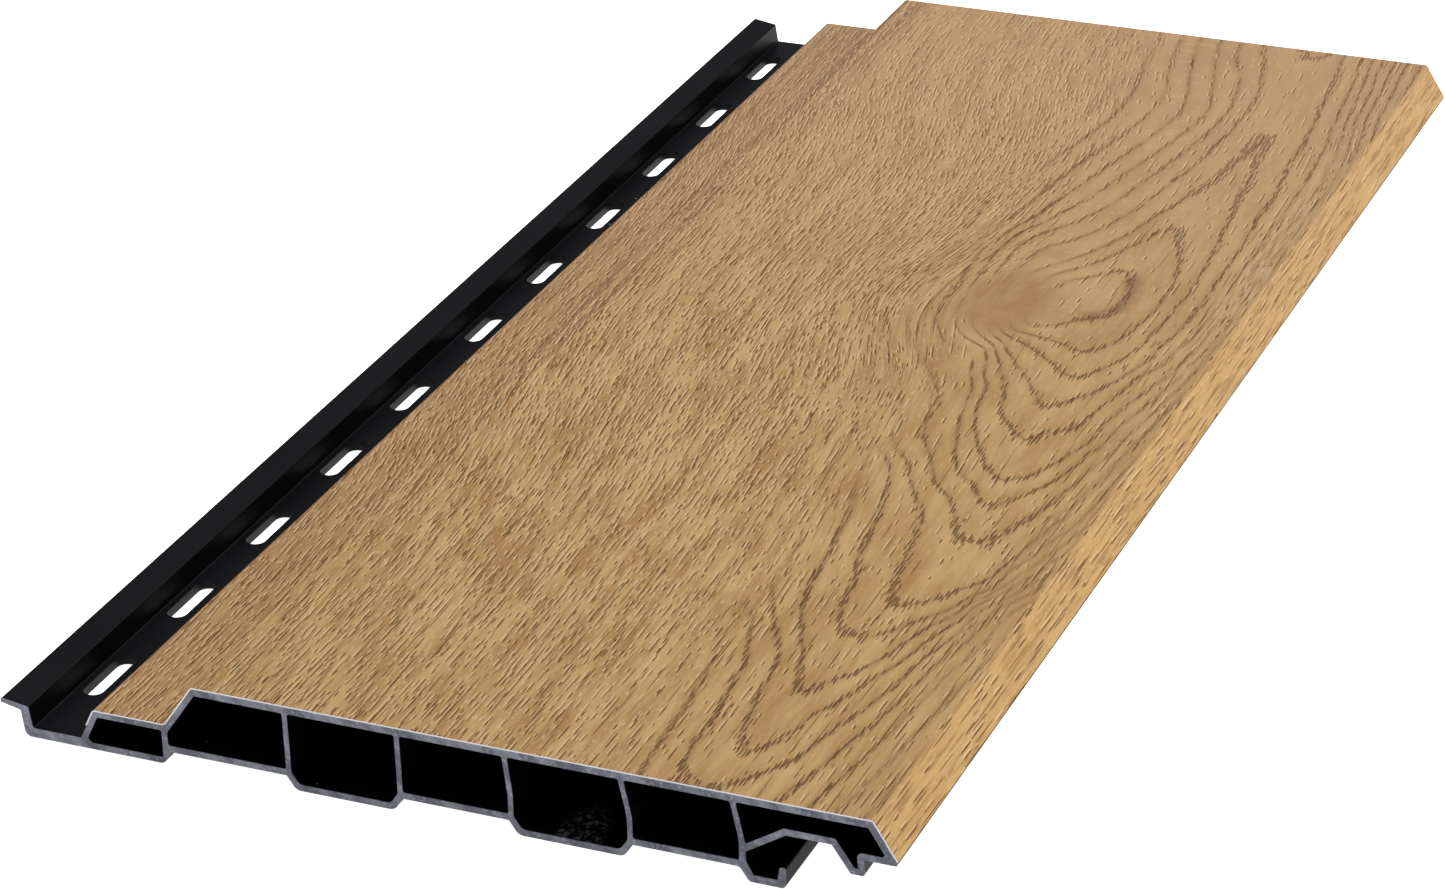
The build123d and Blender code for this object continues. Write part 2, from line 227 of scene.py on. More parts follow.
# Lines that the pores follow: the place across that each keeps from the near end on, and the points
# that it runs through.
FLOW = (
    (0, ((0, 0), (-0.7, 30), (-2.8, 60), (-4, 75), (-7, 90), (-10, 105), (-12.5, 120), (-15, 150),
     (-18, 195))),
    (20, ((20, 0), (19.5, 30), (17.5, 60), (16, 75), (13.5, 90), (11, 105), (8.5, 120), (6.8, 135),
     (6, 150), (4.8, 170), (3.3, 188), (1.2, 205), (-2, 220), (-6, 240))),
    (40, ((40, 0), (38.8, 40), (37.8, 60), (36.8, 75), (34.8, 90), (33.3, 105), (31.5, 120), (29.5, 135),
     (28.2, 150), (27.4, 165), (27, 180), (26, 197), (24, 212), (20.5, 228), (17.3, 243), (15.6, 258),
     (14.5, 279))),
    (50, ((50, 0), (49.8, 25), (49, 50), (48, 68), (46.8, 83), (45.5, 98), (44, 113), (41.5, 128),
     (38.8, 143), (37.5, 158), (37.8, 173), (38.3, 188), (37.3, 203), (35, 218), (31.7, 233), (28.8, 248),
     (27.3, 263), (26.3, 279))),
    (58, ((58, 0), (57.8, 25), (57, 50), (55.7, 68), (54.6, 83), (53.4, 98), (51.8, 113), (49, 128),
     (45, 143), (43.2, 158), (44.5, 173), (45.6, 188), (45.6, 203), (44.3, 218), (41.5, 233), (38.3, 248),
     (36.2, 263), (34.6, 279))),
    (65, ((65, 0), (64.8, 25), (64, 50), (62.4, 68), (60.7, 83), (59, 98), (57.5, 113), (55, 128),
     (50.5, 139), (48.3, 147), (47.6, 157), (48.6, 167), (50.5, 178), (51.7, 190), (51.8, 203),
     (50.9, 218), (49, 233), (46.2, 248), (43.5, 263), (41.5, 279))),
    (70, ((70, 0), (69.6, 25), (68.4, 50), (66.8, 68), (64.6, 83), (62.4, 98), (60.8, 113), (58.8, 128),
     (55.5, 139), (53, 148), (52.3, 157), (53, 166), (54.5, 176), (56, 190), (56.3, 203), (55.5, 218),
     (53.8, 233), (51.3, 248), (48.5, 263), (46, 279))),
    (74, ((74, 0), (73.3, 30), (72, 55), (70.3, 75), (68, 95), (66, 112), (64.2, 125), (61.8, 136),
     (59.3, 144), (57.2, 151), (56.6, 160), (57.5, 170), (59, 180), (60.5, 195), (60.8, 210), (60, 225),
     (58.3, 240), (55.8, 253), (53, 265), (50.5, 279))),
    (77, ((77, 0), (76.5, 30), (75.5, 55), (74.3, 80), (72.5, 100), (71, 120), (69.6, 135), (68.2, 150),
     (67.8, 162), (68.6, 175), (69.6, 190), (70.2, 205), (70.2, 220), (69.7, 235), (68.5, 250), (66, 265),
     (63.5, 279))),
    (84, ((84, 0), (83.5, 40), (82.8, 80), (82, 110), (81.5, 140), (81.5, 170), (81.3, 200), (80.8, 225),
     (79.8, 245), (78.5, 263), (76.5, 279))),
    (91, ((91, 0), (91.3, 50), (91.2, 100), (91.6, 130), (92, 160), (91.2, 180), (90, 205), (88.8, 225),
     (87, 245), (85.3, 263), (84, 279))),
    (100, ((99.5, 0), (100, 50), (100, 100), (100.5, 150), (100.3, 180), (99.7, 210), (98.8, 230),
     (96.8, 245), (95.3, 262), (94, 279))),
)

ALONG_SCALE = 0.6       # the grain changes more slowly along than across
SMOOTH = 2.0            # how far the fields may pass beside the points
PROBE = 0.2             # half the distance over which a slope is measured
KNOT, KNOT_REACH = (62.5, 158), (9, 15)
SMUDGE, SMUDGE_REACH = (77.6, 156.6), (1.5, 1.8)
# What the foil's shader reads: each attribute of the mesh and the three values that it holds.
ATTRIBUTES = {
    "lane": ("lane", "along", "level"),
    "slope": ("level_across", "slope_along", "lane_across"),
    "zone": ("ring", "pores", "stipple"),
    "spot": ("knot", "bevel", "ledge"),
    "mark": ("smudge", "pale", "fan"),
    "turn": ("swirl", "straight", "across"),
}


def plate(points, values):
    """A thin plate through the values at the points. Gives a function of two arrays of coordinates."""
    at = np.array(points, float)
    count = len(at)
    gap = np.linalg.norm(at[:, None] - at[None], axis=-1)
    system = np.zeros((count + 3, count + 3))
    system[:count, :count] = gap ** 2 * np.log(np.maximum(gap, 1e-9)) + SMOOTH * np.eye(count)
    system[:count, count] = system[count, :count] = 1
    system[:count, count + 1:] = at
    system[count + 1:, :count] = at.T
    weight = np.linalg.solve(system, np.concatenate([np.array(values, float), np.zeros(3)]))
    bend, flat = weight[:count], weight[count + 1:]

    def value(across, along):
        query = np.stack([across, along], -1)
        result = np.empty(len(query))
        for start in range(0, len(query), 8192):
            part = query[start:start + 8192]
            square = ((part[:, None] - at[None]) ** 2).sum(-1)
            bent = (0.5 * square * np.log(np.maximum(square, 1e-12))) @ bend
            result[start:start + 8192] = bent + weight[count] + part @ flat
        return result
    return value


def field(lines, extra=()):
    """The plate through lines of equal value and extra points, as a function of across and along."""
    points = [p for _, line in lines for p in line] + [p[:2] for p in extra]
    values = [level for level, line in lines for _ in line] + [p[2] for p in extra]
    value = plate([(x, y * ALONG_SCALE) for x, y in points], values)
    return lambda across, along: value(across, along * ALONG_SCALE)


def ring_field():
    extra = [(x, along, level) for along, *lines in RIGHT for x, level in lines]
    for along, x, level in STRAIGHT:
        for step in STRAIGHT_STEPS:
            if x - RING_PITCH * step > STRAIGHT_END:
                extra.append((x - RING_PITCH * step, along, level + step))
    return field(RINGS, extra)


def slopes_of(value, across, along):
    """How fast a field changes across and along."""
    by_across = (value(across + PROBE, along) - value(across - PROBE, along)) / (2 * PROBE)
    by_along = (value(across, along + PROBE) - value(across, along - PROBE)) / (2 * PROBE)
    return by_across, by_along


def ramp(value, low, high):
    part = np.clip((value - low) / (high - low), 0, 1)
    return part * part * (3 - 2 * part)


def bump_at(value, middle, half):
    """1 at the middle, 0 beyond half."""
    return 1 - ramp(np.abs(value - middle), 0.25 * half, half)


def spot_at(across, along, middle, reach):
    """A soft spot, 1 at its middle."""
    return np.exp(-((across - middle[0]) / reach[0]) ** 2 - ((along - middle[1]) / reach[1]) ** 2)


def grain_at(across, along):
    """The values that ATTRIBUTES names, at points given in parts of the face's width.
    Across runs over the ledge below 0 and over the bevel above 100."""
    rings, flow = ring_field(), field(FLOW)
    inside = np.clip(across, 0, 100)
    beyond = across - inside
    level = rings(inside, along)
    level_across, level_along = slopes_of(rings, inside, along)
    lane = flow(inside, along) + beyond
    lane_across, lane_along = slopes_of(flow, inside, along)

    # on the bevel the rings run straight on
    wave = 0.5 * np.sin(along / 9.0) + 0.3 * np.sin(along / 4.1 + 1.0)
    bevel = ramp(beyond, 0.0, 0.6)
    bevel_slope = 0.42
    level = level * (1 - bevel) + bevel * (20.0 + bevel_slope * (beyond + 0.6 * wave))
    level_across = level_across * (1 - bevel) + bevel * bevel_slope
    level_along = level_along * (1 - bevel)
    lane_across = np.clip(lane_across, 0.2, 3.0)
    # how fast the level changes along a pore
    slope_along = level_along - level_across * lane_along / lane_across

    # parts of the face that differ: the knot, the fan of lines before it, the calm patch and the
    # swirl beside it, and the straight grain along the bevel
    from_knot = np.hypot((inside - KNOT[0]) / KNOT_REACH[0], (along - KNOT[1]) / KNOT_REACH[1])
    knot = 1 - ramp(from_knot, 0.55, 1.1)
    fan = spot_at(inside, along, (65, 137), (5.5, 14))
    soft = spot_at(inside, along, (56, 128), (6, 22))
    swirl = spot_at(inside, along, (51, 148), (6, 24))
    straight = ramp(across, 91.5, 95) * (1 - ramp(along, 225, 250))
    # how strongly the rings show
    first = 60 - 13 * ramp(along, 105, 135)
    ring = ramp(across, first, first + 9) * (1 - 0.9 * knot) * (1 - 0.8 * soft)
    ring = ring * (1 - bevel) + 0.4 * bevel

    # a smudge on the ring beside the eye, and a pale patch beside the bevel
    smudge = spot_at(inside, along, SMUDGE, SMUDGE_REACH)
    on_ring = bump_at(level, 1.0, 0.35) * ramp(inside, 77.5, 79)
    smudge += 0.8 * on_ring * ramp(along, 157, 160) * (1 - ramp(along, 172, 176))
    pale = spot_at(inside, along, (97, 182), (2.2, 40)) * (1 - bevel)

    # how many pores: most in the fine grain on the left, none on the knot
    fine = 1 - ramp(across, 44, 62)
    stipple = np.maximum(bump_at(along, 112, 30), bump_at(along, 206, 34)) * (1 - ramp(across, 36, 58))
    pores = 0.32 + 0.56 * fine + 0.1 * (1 - ramp(across, 60, 74))
    pores = pores - 0.18 * ramp(across, 74, 80) * (1 - ramp(across, 88, 93))
    pores = pores + 0.16 * straight + 0.05 * bevel
    pores = pores * (1 - 0.97 * knot) * (1 - 0.75 * swirl) * (1 - 0.7 * fan)
    pores = pores * (1 - 0.4 * ramp(along, 240, 279))
    values = {
        "lane": lane, "along": along, "level": level, "level_across": level_across,
        "slope_along": slope_along, "lane_across": lane_across, "ring": ring, "pores": pores,
        "stipple": stipple, "knot": knot, "bevel": bevel, "ledge": 1 - ramp(across, -6, -0.5),
        "smudge": np.clip(smudge, 0, 1), "pale": pale, "fan": fan, "swirl": swirl,
        "straight": straight, "across": across,
    }
    return {name: np.stack([values[part] for part in parts], -1) for name, parts in ATTRIBUTES.items()}


# The foil's mesh

COLUMN_STEP, ROW_STEP, BACK_ROWS = 1.15 * MM, 1.3 * MM, 8
CORNER_GAP = 0.2 * MM       # from a corner to the column beside it
FRONT, BACK, NEAR_CUT, FAR_CUT, LEFT_EDGE, RIGHT_EDGE = range(6)
# where each kind of face lies across the flat map for the export's bake
BAKE_STRIPS = {
    FRONT: (0.004, 0.930), BACK: (0.938, 0.950), NEAR_CUT: (0.956, 0.966), FAR_CUT: (0.972, 0.982),
    LEFT_EDGE: (0.986, 0.990), RIGHT_EDGE: (0.994, 0.998),
}
BAKE_MARGIN = 0.004
SHARP = math.radians(35)


def end_outline(node):
    """The node's outline in its near end, in order round it, as (x, z)."""
    mesh = node.data
    places, number = [], {}

    def index(vertex):
        co = mesh.vertices[vertex].co
        key = (round(co.x, 7), round(co.z, 7))
        if key not in number:
            number[key] = len(places)
            places.append(key)
        return number[key]

    uses = {}
    for face in mesh.polygons:
        if all(abs(mesh.vertices[v].co.y - NEAR_END) < 1e-6 for v in face.vertices):
            ring = [index(v) for v in face.vertices]
            for a, b in zip(ring, ring[1:] + ring[:1]):
                uses[frozenset((a, b))] = uses.get(frozenset((a, b)), 0) + 1
    joined = {}
    for pair, count in uses.items():
        if count == 1:
            a, b = pair
            joined.setdefault(a, []).append(b)
            joined.setdefault(b, []).append(a)
    start = min(joined, key=lambda i: places[i][0])
    walk, before = [start], None
    while True:
        ahead = [i for i in joined[walk[-1]] if i != before][0]
        if ahead == start:
            return [places[i] for i in walk]
        before = walk[-1]
        walk.append(ahead)


def two_sides(outline):
    """Splits the foil's outline into its outer and inner side, both from the ledge to the bevel."""
    last = max(range(len(outline)), key=lambda i: outline[i][0])
    first, second = outline[:last + 1], outline[last + 1:][::-1]
    if len(first) != len(second):
        first, second = outline[:1] + outline[last:][::-1], outline[1:last]
    return np.array(first), np.array(second)


def columns(outer, inner):
    """Adds columns between the outline's corners, COLUMN_STEP apart at most and one near each corner."""
    out_rows, in_rows = [outer[0]], [inner[0]]
    for a, b, c, d in zip(outer, outer[1:], inner, inner[1:]):
        length = float(np.linalg.norm(b - a))
        parts = [1.0]
        if length > 4 * CORNER_GAP:
            cuts = max(1, math.ceil((length - 2 * CORNER_GAP) / COLUMN_STEP))
            first, between = CORNER_GAP / length, 1 - 2 * CORNER_GAP / length
            parts = [first + k / cuts * between for k in range(cuts + 1)] + [1.0]
        for t in parts:
            out_rows.append(a + (b - a) * t)
            in_rows.append(c + (d - c) * t)
    return np.array(out_rows), np.array(in_rows)


def foil_faces(wide, rows):
    """The faces of a closed strip and the kind of each: a fine front, a coarse back and thin sides."""
    each = rows // BACK_ROWS
    base = wide * (rows + 1)

    def f(row, column):
        return row * wide + column

    def g(row, column):
        return base + row * wide + column

    faces, kinds = [], []

    def face(kind, *corners):
        faces.append(corners)
        kinds.append(kind)

    for r in range(rows):
        for c in range(wide - 1):
            face(FRONT, f(r, c), f(r, c + 1), f(r + 1, c + 1), f(r + 1, c))
    for r in range(BACK_ROWS):
        for c in range(wide - 1):
            face(BACK, g(r, c), g(r + 1, c), g(r + 1, c + 1), g(r, c + 1))
    for c in range(wide - 1):
        face(NEAR_CUT, f(0, c), g(0, c), g(0, c + 1), f(0, c + 1))
        face(FAR_CUT, f(rows, c), f(rows, c + 1), g(BACK_ROWS, c + 1), g(BACK_ROWS, c))
    last = wide - 1
    for r in range(BACK_ROWS):
        stretch = range(r * each, (r + 1) * each + 1)
        face(LEFT_EDGE, *[f(k, 0) for k in stretch], g(r + 1, 0), g(r, 0))
        face(RIGHT_EDGE, g(r, last), g(r + 1, last), *[f(k, last) for k in reversed(stretch)])
    return faces, kinds


def bake_map(mesh, kinds, wide, rows, share):
    """Lays the mesh out flat for the export's bake, the front large and the rest in strips beside it."""
    base = wide * (rows + 1)
    spots = np.zeros((len(mesh.loops), 2))
    for face, kind in zip(mesh.polygons, kinds):
        low, high = BAKE_STRIPS[kind]
        for loop in face.loop_indices:
            v = mesh.loops[loop].vertex_index
            is_back = v >= base
            row, column = divmod(v - base if is_back else v, wide)
            u, w = (high if is_back else low), row / (BACK_ROWS if is_back else rows)
            if kind in (FRONT, BACK):
                u = low + (high - low) * share[column]
            elif kind in (NEAR_CUT, FAR_CUT):
                w = share[column]
            spots[loop] = (u, BAKE_MARGIN + (1 - 2 * BAKE_MARGIN) * w)
    mesh.uv_layers.new(name="OFBake").data.foreach_set("uv", spots.ravel())


def foil_piece():
    outer, inner = columns(*two_sides(end_outline(FOIL)))
    wide = len(outer)
    rows = math.ceil((FAR_END - NEAR_END) / ROW_STEP / BACK_ROWS) * BACK_ROWS
    front_y = np.linspace(NEAR_END, FAR_END, rows + 1)
    back_y = front_y[::rows // BACK_ROWS]
    points = [(x, y, z) for y in front_y for x, z in outer] + [(x, y, z) for y in back_y for x, z in inner]
    faces, kinds = foil_faces(wide, rows)
    mesh = bpy.data.meshes.new("oak_decor")
    mesh.from_pydata(points, [], faces)
    mesh.update()

    # how far each column lies along the outline, from the step's top corner
    steps = np.concatenate([[0], np.cumsum(np.linalg.norm(np.diff(outer, axis=0), axis=1))])
    top = np.where(outer[:, 1] > outer[:, 1].max() - 1e-7)[0][0]
    corner = steps[top] - (outer[top, 0] - FACE_LEFT)
    across = (steps - corner) / PART
    grid_across = np.tile(across, rows + 1 + BACK_ROWS + 1)
    grid_along = (np.repeat(np.concatenate([front_y, back_y]), wide) - NEAR_END) / PART
    for name, values in grain_at(grid_across, grid_along).items():
        layer = mesh.attributes.new(name, "FLOAT_VECTOR", "POINT")
        layer.data.foreach_set("vector", values.astype(np.float32).ravel())

    bake_map(mesh, kinds, wide, rows, steps / steps[-1])
    mesh.polygons.foreach_set("use_smooth", [k == FRONT for k in kinds])
    mesh.set_sharp_from_angle(angle=SHARP)
    piece = bpy.data.objects.new("oak_decor", mesh)
    bpy.context.scene.collection.objects.link(piece)
    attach(piece, "root")
    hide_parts("decor_foil")
    return piece


# Materials

LIGHT = 1.44            # how bright white paint comes out on the face
LEDGE_EDGE = -19.5      # the ledge's long corner, in parts
# Colours as they look in the photograph.
# Painted light among them: far is a painted sheen, ledge and streak are painted shade, bevel is partly
# painted light, and the colour beside the pores is a painted highlight.
WOOD = {
    "dark": (167, 126, 78), "light": (199, 164, 112), "far": (184, 150, 118), "bevel": (204, 164, 102),
    "bevel line": (146, 104, 60), "ledge": (160, 128, 92), "streak": (142, 110, 80), "knot": (160, 120, 80),
    "sliver": (224, 194, 148), "pore_rim_highlight": (226, 192, 150), "smudge": (122, 92, 66), "pale": (222, 192, 156),
    "haze": (140, 104, 72), "band": (100, 66, 42), "ring": (112, 78, 44), "pencil": (120, 84, 50),
    "pore": (94, 56, 20), "edge": (150, 96, 56), "cut": (236, 234, 238),
}
# Kinds of pores: the pitch of their cells in lanes and along, half their width and length, and a seed.
BAND_PORES = ((0.42, 2.0), (0.155, 1.45), 3.0)
LONG_PORES = ((1.15, 5.4), (0.15, 2.9), 11.0)
SHORT_PORES = ((0.92, 2.7), (0.155, 1.15), 27.0)
LONGEST_PORES = ((1.9, 11.0), (0.12, 5.0), 41.0)
# Paint of the plastic, and where swarf lies: a middle and how far it reaches, in metres.
# aside is a painted shade, for the walls that face the nose's side.
PLASTIC = {
    "dark": (0.0012, 0.0012, 0.0022), "light": (0.0028, 0.0027, 0.0043),
    "drawn": (0.008, 0.008, 0.011), "aside": (0.0006, 0.0006, 0.0008),
    "cut dark": (0.085, 0.089, 0.112), "cut light": (0.165, 0.170, 0.200),
    "grit": (0.30, 0.31, 0.35), "swarf": (0.17, 0.175, 0.20), "speck": (0.20, 0.20, 0.22),
}
SWARF = (
    ((0.0272, NEAR_END, 0.0022), (0.0056, 0.016, 0.0030)),      # on the floor of the fifth chamber
    ((0.0393, NEAR_END, 0.0085), (0.0016, 0.008, 0.0032)),      # on the web beside it
)
SPECKS = 45.0       # to the metre


class Graph:
    """Short names for the shader nodes used here."""

    def __init__(self, name):
        self.material = bpy.data.materials.new(name)
        self.material.use_nodes = True
        self.tree = self.material.node_tree
        self.shader = self.tree.nodes["Principled BSDF"]

    def link(self, value, socket):
        if hasattr(value, "is_output"):
            self.tree.links.new(value, socket)
        elif isinstance(value, (tuple, list)):
            socket.default_value = tuple(value) + (1.0,) * (len(socket.default_value) - len(value))
        else:
            socket.default_value = value

    def math(self, operation, *values):
        n = self.tree.nodes.new("ShaderNodeMath")
        n.operation = operation
        for value, socket in zip(values, n.inputs):
            self.link(value, socket)
        return n.outputs[0]

    def chain(self, operation, values):
        result = values[0]
        for value in values[1:]:
            result = self.math(operation, result, value)
        return result

    def add(self, *values):
        return self.chain("ADD", values)

    def mul(self, *values):
        return self.chain("MULTIPLY", values)

    def most(self, *values):
        return self.chain("MAXIMUM", values)

    def sub(self, a, b):
        return self.math("SUBTRACT", a, b)

    def div(self, a, b):
        return self.math("DIVIDE", a, b)

    def square(self, value):
        return self.mul(value, value)

    def less(self, value, share=1.0):
        """1 where the value is 0, and 1 - share where it is 1."""
        return self.sub(1.0, self.mul(value, share))

    def step(self, value, low, high, to_low=0.0, to_high=1.0):
        """Eases from to_low at low to to_high at high."""
        n = self.tree.nodes.new("ShaderNodeMapRange")
        n.interpolation_type = "SMOOTHSTEP"
        for v, s in zip((value, low, high, to_low, to_high), n.inputs[:5]):
            self.link(v, s)
        return n.outputs[0]

    def over(self, a, b):
        """1 where a is above b, with a thin soft edge."""
        return self.step(self.sub(a, b), -0.01, 0.01)

    def mix(self, share, a, b):
        n = self.tree.nodes.new("ShaderNodeMix")
        n.data_type = "RGBA"
        for v, s in zip((share, a, b), (n.inputs[0], n.inputs[6], n.inputs[7])):
            self.link(v, s)
        return n.outputs[2]

    def attribute(self, name):
        n = self.tree.nodes.new("ShaderNodeAttribute")
        n.attribute_name = name
        return self.split(n.outputs["Vector"])

    def split(self, vector):
        n = self.tree.nodes.new("ShaderNodeSeparateXYZ")
        self.link(vector, n.inputs[0])
        return n.outputs[0], n.outputs[1], n.outputs[2]

    def join(self, x, y, z=0.0):
        n = self.tree.nodes.new("ShaderNodeCombineXYZ")
        for value, socket in zip((x, y, z), n.inputs):
            self.link(value, socket)
        return n.outputs[0]

    def noise(self, vector, scale=1.0, detail=2.0, roughness=0.5):
        n = self.tree.nodes.new("ShaderNodeTexNoise")
        self.link(vector, n.inputs["Vector"])
        n.inputs["Scale"].default_value = scale
        n.inputs["Detail"].default_value = detail
        n.inputs["Roughness"].default_value = roughness
        return n.outputs[0]

    def cells(self, vector):
        n = self.tree.nodes.new("ShaderNodeTexVoronoi")
        n.voronoi_dimensions = "2D"
        self.link(vector, n.inputs["Vector"])
        n.inputs["Scale"].default_value = 1.0
        return n.outputs["Position"], n.outputs["Color"]

    def place(self):
        n = self.tree.nodes.new("ShaderNodeTexCoord")
        return n.outputs["Object"]

    def normal(self):
        n = self.tree.nodes.new("ShaderNodeNewGeometry")
        return n.outputs["Normal"]

    def bump(self, height, strength, distance):
        n = self.tree.nodes.new("ShaderNodeBump")
        n.inputs["Strength"].default_value = strength
        n.inputs["Distance"].default_value = distance
        self.link(height, n.inputs["Height"])
        self.link(n.outputs[0], self.shader.inputs["Normal"])

    def set(self, name, value):
        self.link(value, self.shader.inputs[name])


def srgb(r, g, b):
    """A colour seen in the photograph, as the paint that looks so under this light."""
    def one(v):
        v /= 255
        return (v / 12.92 if v <= 0.04045 else ((v + 0.055) / 1.055) ** 2.4) / LIGHT
    return one(r), one(g), one(b)


def coat(g, share, base, name):
    return g.mix(share, base, srgb(*WOOD[name]))


def from_ring(g, level):
    """Distance from the nearest ring line, in levels."""
    return g.math("ABSOLUTE", g.sub(g.math("FRACT", g.add(level, 0.5)), 0.5))


def waver(g, lane, along):
    """What the ring lines stray by, in levels."""
    return g.mul(g.sub(g.noise(g.join(g.mul(lane, 0.5), g.mul(along, 0.12))), 0.5), 0.09)


def streaks(g, across, along, fine, coarse, seed=0.0, **looks):
    """Noise drawn out along the grain: its scales across and along."""
    return g.noise(g.join(g.mul(across, fine), g.mul(along, coarse), seed), **looks)


def read_grain(g):
    """What grain_at gave to the mesh, by name, and what follows from it."""
    v = SimpleNamespace()
    for name, parts in ATTRIBUTES.items():
        for part, socket in zip(parts, g.attribute(name)):
            setattr(v, part, socket)
    v.steep = g.math("SQRT", g.add(g.square(v.level_across), g.square(v.slope_along), 0.0004))
    v.from_line = g.div(from_ring(g, g.add(v.level, waver(g, v.lane, v.along))), v.steep)
    v.fibre = streaks(g, v.lane, v.along, 1.7, 0.15, detail=3.0, roughness=0.6)
    return v


def strokes(g, v, pitch, half, seed):
    """One kind of pores: how dark, how much painted highlight beside them, two random numbers for each
    pore, and how near its middle is to a ring line."""
    px = g.add(g.div(v.lane, pitch[0]), seed)
    py = g.add(g.div(v.along, pitch[1]), seed * 1.7)
    centre, colour = g.cells(g.join(px, py))
    cx, cy, _ = g.split(centre)
    lanes = g.mul(g.sub(px, cx), pitch[0])
    dx = g.div(lanes, v.lane_across)
    dy = g.mul(g.sub(py, cy), pitch[1])
    at_centre = g.sub(v.level, g.add(g.mul(v.level_across, dx), g.mul(v.slope_along, dy)))
    at_centre = g.add(at_centre, waver(g, g.sub(v.lane, lanes), g.sub(v.along, dy)))
    chance, shade, stretch = g.split(colour)
    length = g.mul(half[1], g.add(0.55, g.mul(0.75, stretch)))
    end = g.square(g.div(dy, length))
    beside = g.div(g.add(dx, half[0] * 2.0), half[0] * 1.1)
    return SimpleNamespace(
        dark=g.step(g.add(g.square(g.div(dx, half[0])), end), 1.0, 0.45),
        light=g.step(g.add(g.square(beside), end), 1.0, 0.3),
        chance=chance, shade=shade, near=from_ring(g, at_centre))


def ring_bands(g, v):
    """Rows of pores in the ring bands, and the painted highlight beside them."""
    row = strokes(g, v, *BAND_PORES)
    inside = g.mul(g.step(row.near, 0.12, 0.10), g.step(g.div(row.near, v.steep), 1.35, 1.1))
    inside = g.mul(inside, v.ring, g.less(v.fan, 0.8))
    rare = g.mul(g.add(v.straight, v.bevel), 0.35)
    band = g.mul(row.dark, inside, g.step(g.sub(row.chance, rare), 0.05, 0.10))
    return band, g.mul(row.light, inside, g.step(row.chance, 0.45, 0.5))


def scattered_pores(g, v):
    """Pores everywhere, long, short and very long, with calm patches between, and the painted highlight
    beside them.
    """
    calm = streaks(g, v.lane, v.along, 0.28, 0.09, 3.0)
    pores = g.add(v.pores, g.mul(g.sub(calm, 0.5), g.mul(v.pores, 2.4)))
    long, short, longest = [strokes(g, v, *kind) for kind in (LONG_PORES, SHORT_PORES, LONGEST_PORES)]
    long_on = g.over(g.mul(pores, 0.8), long.chance)
    few = g.mul(g.less(v.bevel, 0.8), g.less(v.straight, 0.6))
    short_on = g.over(g.mul(pores, few, g.add(0.62, g.mul(v.stipple, 0.7))), short.chance)
    many = g.add(g.mul(pores, 0.5), 0.18, g.mul(v.swirl, 0.5), g.mul(g.add(v.straight, v.bevel), 0.3))
    longest_on = g.over(many, g.add(longest.chance, v.knot, v.fan))
    dark = g.most(
        g.mul(long.dark, long_on, g.add(0.5, g.mul(0.5, long.shade))),
        g.mul(short.dark, short_on, g.add(0.5, g.mul(0.5, short.shade))),
        g.mul(longest.dark, longest_on, g.add(0.4, g.mul(0.5, longest.shade))))
    return dark, g.most(g.mul(long.light, long_on), g.mul(short.light, short_on))


def ground(g, v):
    """The wood's own colour: fibres, streaks and blotches, and a step of tone at each ring. Towards the far
    end it is paler, a painted sheen.
    """
    streak = streaks(g, v.lane, v.along, 0.42, 0.05, detail=2.5)
    blotch = streaks(g, v.lane, v.along, 0.10, 0.04)
    tone = g.add(g.mul(v.fibre, 0.36), g.mul(streak, 0.46), g.mul(blotch, 0.18))
    growth = g.sub(g.step(g.math("FRACT", v.level), 0.3, 1.0), 0.4)
    tone = g.sub(tone, g.mul(growth, v.ring, 0.07))
    tone = g.add(0.5, g.mul(g.sub(tone, 0.5), g.less(v.ring, 0.4)))
    base = g.mix(g.step(tone, 0.38, 0.62), srgb(*WOOD["dark"]), srgb(*WOOD["light"]))
    # painted sheen: the face grows paler towards the far end, where gloss shows at a grazing angle
    return coat(g, g.step(v.along, 60.0, 270.0, 0.0, 0.6), base, "far")


def bevel_and_ledge(g, v, base):
    # partly the foil's own yellower tone on the bevel, partly painted light: the bevel is lighter, as it
    # faces the lamp's side
    base = coat(g, g.mul(v.bevel, 0.6), base, "bevel")
    comb = streaks(g, v.across, v.along, 1.5, 0.085, 13.0, roughness=0.6)
    base = coat(g, g.mul(g.step(comb, 0.50, 0.62, 0.0, 0.55), v.bevel), base, "bevel line")
    # painted shade: the ledge below the step is darkened, as the step shades it from the light
    base = coat(g, g.mul(v.ledge, 0.35), base, "ledge")
    # painted shade: long dark streaks on the ledge and beside the step, the shade that the step casts,
    # strongest at the far end
    strip = g.step(streaks(g, v.across, v.along, 0.85, 0.012, 7.0), 0.42, 0.60)
    low_side = g.mul(g.step(v.across, 7.0, 1.0), g.step(v.across, -13.5, -9.0, 0.5, 0.9))
    return coat(g, g.mul(strip, low_side, g.step(v.along, 20.0, 200.0, 0.45, 1.0)), base, "streak")


def marks(g, v, base, pore_rim_highlight):
    """The knot, light slivers, the painted highlight beside the pores, the smudge and the pale patch."""
    base = coat(g, g.mul(v.knot, g.step(v.fibre, 0.36, 0.62, 0.3, 0.85)), base, "knot")
    sliver = streaks(g, v.lane, v.along, 2.4, 0.55, 5.0, detail=1.0)
    share = g.sub(0.5, g.add(g.mul(v.ring, 0.3), g.mul(v.knot, 0.5)))
    base = coat(g, g.mul(g.step(sliver, 0.60, 0.72), share), base, "sliver")
    # painted highlight: the light that the embossed rims beside the pores catch
    base = coat(g, g.mul(pore_rim_highlight, 0.6), base, "pore_rim_highlight")
    base = coat(g, g.mul(v.smudge, 0.75), base, "smudge")
    return coat(g, g.mul(v.pale, g.step(v.fibre, 0.42, 0.62, 0.0, 0.6)), base, "pale")


